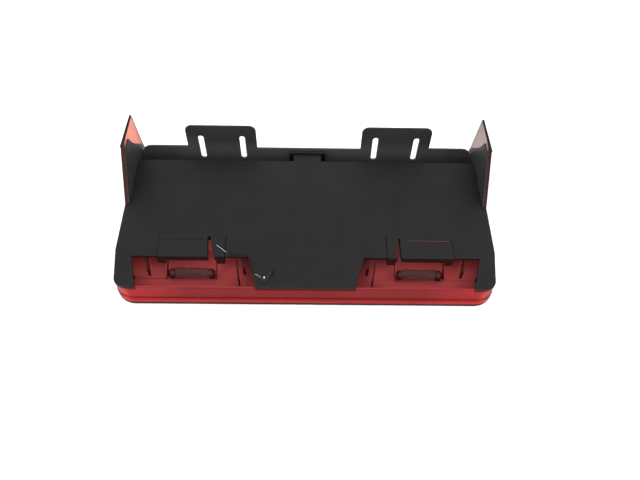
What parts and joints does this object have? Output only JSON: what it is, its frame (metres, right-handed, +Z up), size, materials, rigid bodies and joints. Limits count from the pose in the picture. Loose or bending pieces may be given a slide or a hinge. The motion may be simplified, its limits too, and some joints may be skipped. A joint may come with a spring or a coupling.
{
  "type": "third brake light",
  "caption": "Wide flat high-mount brake light with a red wrap-round lens, black housing, side wings and a slotted rear mounting bracket.",
  "frame": {"origin": "on the surface the lamp rests on, under the middle of the lamp's bounding box", "axes": "+Z up, lens facing -Y, mounting bracket at +Y, +X to the right when looking at the lens side from -Y"},
  "size_m": [0.3218, 0.1659, 0.0666],
  "materials": {
    "red_lens": "translucent red acrylic, polished outside",
    "black_housing": "fine-grained moulded black ABS",
    "black_holder": "smooth moulded black nylon",
    "painted_steel": "black powder-coated sheet steel",
    "rubber": "matt extruded rubber",
    "reflector": "vacuum-metallised, slightly hazed",
    "brass": "stamped spring brass, lightly tarnished",
    "bulb_glass": "clear glass, darkened by use",
    "bulb_cap": "nickel-plated caps",
    "filament": "drawn tungsten wire",
    "tinned_metal": "tinned copper",
    "lead_insulation": "soft black PVC",
    "black_screw": "black oxide steel",
    "zinc_screw": "zinc-plated steel"
  },
  "bodies": {
    "lamp_body": {"lens": "red_lens", "housing": "black_housing", "base_cover": "black_housing", "mounting_bracket": "painted_steel", "left_cheek": "black_housing", "right_cheek": "black_housing", "left_wing_trim": "rubber", "right_wing_trim": "rubber", "lens_gasket": "rubber", "left_reflector": "reflector", "right_reflector": "reflector", "connector_body": "black_holder", "connector_blades": "tinned_metal", "left_feed_lead": "lead_insulation", "right_feed_lead": "lead_insulation", "left_earth_wire": "tinned_metal", "right_earth_lead": "lead_insulation", "earth_lead": "lead_insulation", "wire_clips": "black_holder", "earth_eyelet": "tinned_metal", "earth_screw": "black_screw", "lens_screws": "zinc_screw", "cover_screws": "zinc_screw", "bracket_screws": "black_screw"},
    "left_bulb_unit": {"left_holder": "black_holder", "left_feed_contact": "brass", "left_earth_contact": "brass", "left_feed_strip": "brass"},
    "right_bulb_unit": {"right_holder": "black_holder", "right_feed_contact": "brass", "right_earth_contact": "brass", "right_feed_strip": "brass"},
    "left_bulb": {"left_bulb_glass": "bulb_glass", "left_bulb_caps": "bulb_cap", "left_bulb_filament": "filament"},
    "right_bulb": {"right_bulb_glass": "bulb_glass", "right_bulb_caps": "bulb_cap", "right_bulb_filament": "filament"}
  },
  "joints": [
    {"name": "left_holder_lift", "type": "slide", "parent": "lamp_body", "child": "left_bulb_unit", "axis": [0, 0, 1], "range_m": [0, 0.045], "deforming": ["left_feed_lead", "left_earth_wire"]},
    {"name": "right_holder_lift", "type": "slide", "parent": "lamp_body", "child": "right_bulb_unit", "axis": [0, 0, 1], "range_m": [0, 0.045], "deforming": ["right_feed_lead", "right_earth_lead"]},
    {"name": "left_bulb_pull", "type": "slide", "parent": "left_bulb_unit", "child": "left_bulb", "axis": [0, -1, 0], "range_m": [0, 0.012]},
    {"name": "right_bulb_pull", "type": "slide", "parent": "right_bulb_unit", "child": "right_bulb", "axis": [0, -1, 0], "range_m": [0, 0.012]}
  ]
}
